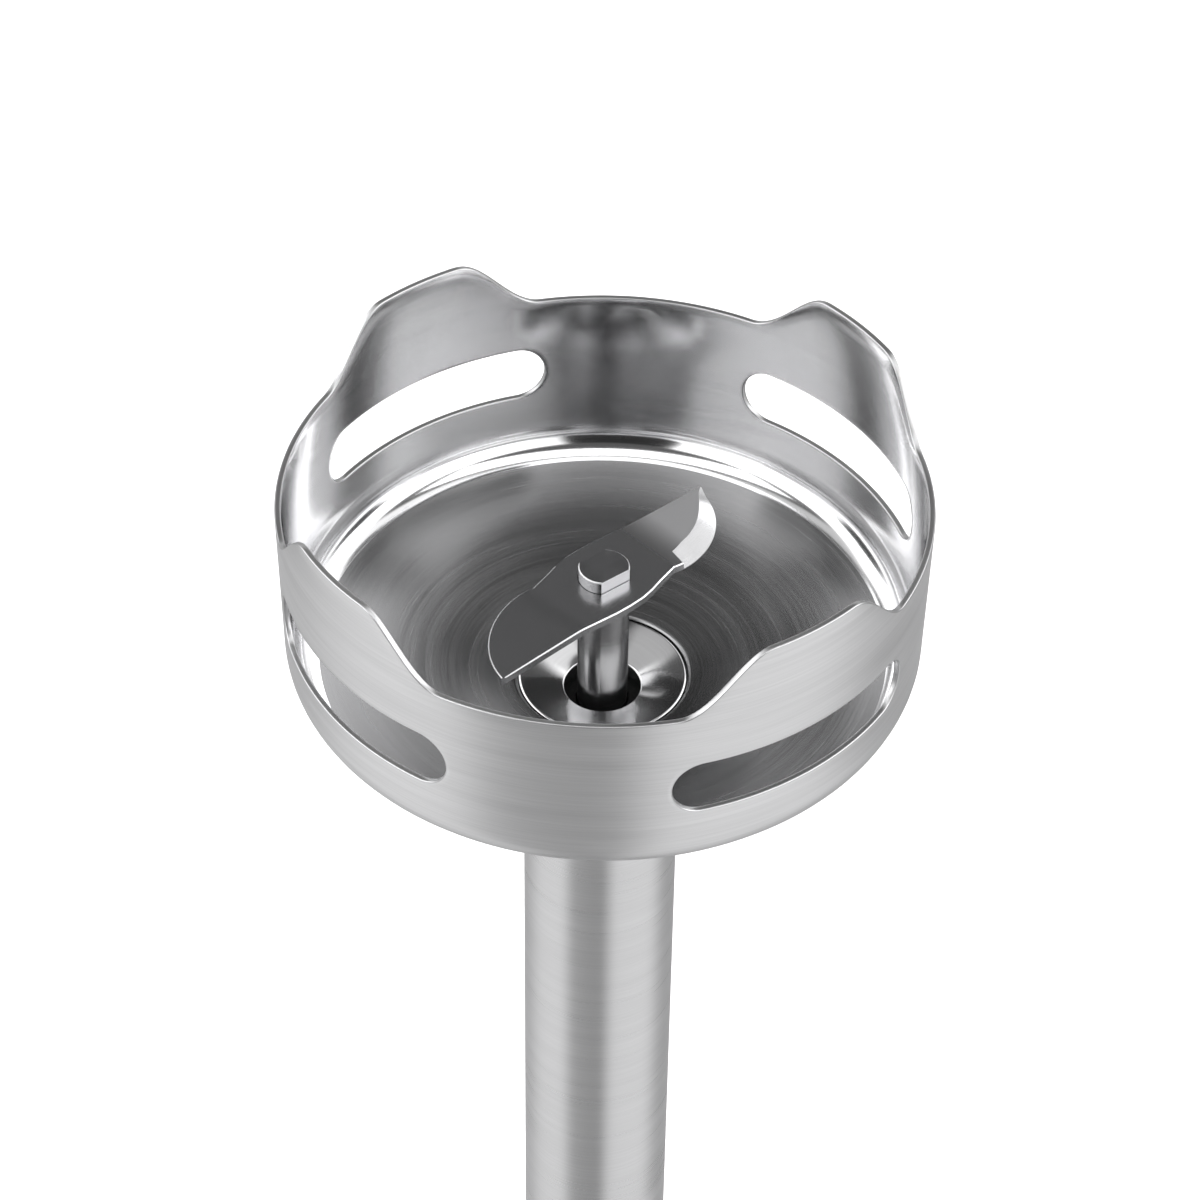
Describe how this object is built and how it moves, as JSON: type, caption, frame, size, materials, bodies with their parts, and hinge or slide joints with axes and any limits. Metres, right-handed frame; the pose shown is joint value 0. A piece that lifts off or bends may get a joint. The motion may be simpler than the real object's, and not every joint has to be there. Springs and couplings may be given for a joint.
{
  "type": "immersion blender",
  "caption": "Stick blender with a scalloped steel bell guard, a bent blade, a lift-off arm and a handle with a trigger, a lock button and a speed wheel.",
  "frame": {"origin": "centre of the flat end of the handle, on the surface it stands on", "axes": "+Z along the shaft towards the blade, the trigger and speed wheel face -Y, the power inlet faces +Y"},
  "size_m": [0.1, 0.1, 0.54],
  "materials": {
    "bell_steel": "spun and brushed round the axis outside, polished inside",
    "tube_steel": "fine brushed round the axis",
    "turned_steel": "turned and polished",
    "shaft_steel": "ground",
    "blade_steel": "satin with ground edges",
    "bearing_steel": "ground",
    "dark_steel": "blackened",
    "spring_steel": "drawn wire",
    "core_iron": "stacked laminations",
    "cast_bracket": "cast",
    "bronze": "sintered",
    "pin_brass": "drawn",
    "copper_wire": "enamelled copper",
    "carbon": "pressed carbon",
    "black_rubber": "matte",
    "soft_grip": "soft-touch",
    "dark_plastic": "fine moulded grain",
    "trigger_plastic": "satin moulded",
    "pale_plastic": "moulded",
    "inlet_plastic": "moulded",
    "board": "coated"
  },
  "bodies": {
    "motor_body": {"housing_left": "dark_plastic", "housing_right": "dark_plastic", "housing_screw_1": "dark_steel", "housing_screw_2": "dark_steel", "housing_screw_3": "dark_steel", "housing_screw_4": "dark_steel", "grip_sleeve": "soft_grip", "end_cap": "dark_plastic", "bumper_foot": "black_rubber", "inlet_body": "inlet_plastic", "inlet_pin_left": "pin_brass", "inlet_pin_right": "pin_brass", "arm_socket": "turned_steel", "socket_seal": "black_rubber", "stator_core": "core_iron", "field_coil_left": "copper_wire", "field_coil_right": "copper_wire", "rear_bracket": "cast_bracket", "front_bracket": "cast_bracket", "rear_bearing_outer": "bearing_steel", "front_bearing_outer": "bearing_steel", "motor_bolt_front": "dark_steel", "motor_bolt_back": "dark_steel", "brush_holder_left": "pin_brass", "brush_holder_right": "pin_brass", "carbon_brush_left": "carbon", "carbon_brush_right": "carbon", "switch_body": "inlet_plastic", "trigger_spring": "spring_steel", "lock_spring": "spring_steel", "potentiometer": "pale_plastic", "control_board": "board"},
    "rotor": {"rotor_shaft": "shaft_steel", "armature_core": "core_iron", "winding_rear": "copper_wire", "winding_front": "copper_wire", "commutator": "copper_wire", "cooling_fan": "pale_plastic", "motor_coupling": "black_rubber", "rear_bearing_inner": "bearing_steel", "front_bearing_inner": "bearing_steel"},
    "arm": {"bell_guard": "bell_steel", "arm_tube": "tube_steel", "bearing_cup": "turned_steel", "shaft_seal": "black_rubber", "lower_bush": "bronze", "upper_bush": "bronze", "tube_fitting": "turned_steel"},
    "blade_drive": {"drive_shaft": "shaft_steel", "blade": "blade_steel", "driven_coupling": "turned_steel", "thrust_washer": "bronze", "shaft_circlip": "dark_steel"},
    "collar": {"locking_collar": "dark_plastic"},
    "trigger": {"trigger": "trigger_plastic"},
    "plunger": {"switch_plunger": "pale_plastic"},
    "wheel": {"speed_wheel": "soft_grip"},
    "lock": {"lock_button": "trigger_plastic"}
  },
  "joints": [
    {"name": "motor_spin", "type": "hinge", "parent": "motor_body", "child": "rotor", "pos_m": [0, 0, 0.212], "axis": [0, 0, 1], "continuous": true},
    {"name": "arm_lift", "type": "slide", "parent": "motor_body", "child": "arm", "axis": [0, 0, 1], "range_m": [0, 0.06]},
    {"name": "blade_spin", "type": "hinge", "parent": "arm", "child": "blade_drive", "pos_m": [0, 0, 0.513], "axis": [0, 0, 1], "continuous": true},
    {"name": "collar_turn", "type": "hinge", "parent": "arm", "child": "collar", "pos_m": [0, 0, 0.296], "axis": [0, 0, 1], "range_deg": [0, 90]},
    {"name": "trigger_press", "type": "slide", "parent": "motor_body", "child": "trigger", "axis": [0, 1, 0], "range_m": [0, 0.0035], "stiffness_N_per_m": 300, "springref_m": -0.005, "deforming": ["trigger_spring"]},
    {"name": "plunger_travel", "type": "slide", "parent": "motor_body", "child": "plunger", "axis": [0, 1, 0], "range_m": [0, 0.0035]},
    {"name": "lock_press", "type": "slide", "parent": "motor_body", "child": "lock", "axis": [0, -1, 0], "range_m": [0, 0.0025], "stiffness_N_per_m": 300, "springref_m": -0.005, "deforming": ["lock_spring"]},
    {"name": "speed_turn", "type": "hinge", "parent": "motor_body", "child": "wheel", "pos_m": [0, -0.0165, 0.145], "axis": [1, 0, 0], "range_deg": [0, 270]}
  ],
  "couplings": [
    {"joint": "blade_spin", "follows": "motor_spin", "ratio": 1},
    {"joint": "plunger_travel", "follows": "trigger_press", "ratio": 1}
  ]
}
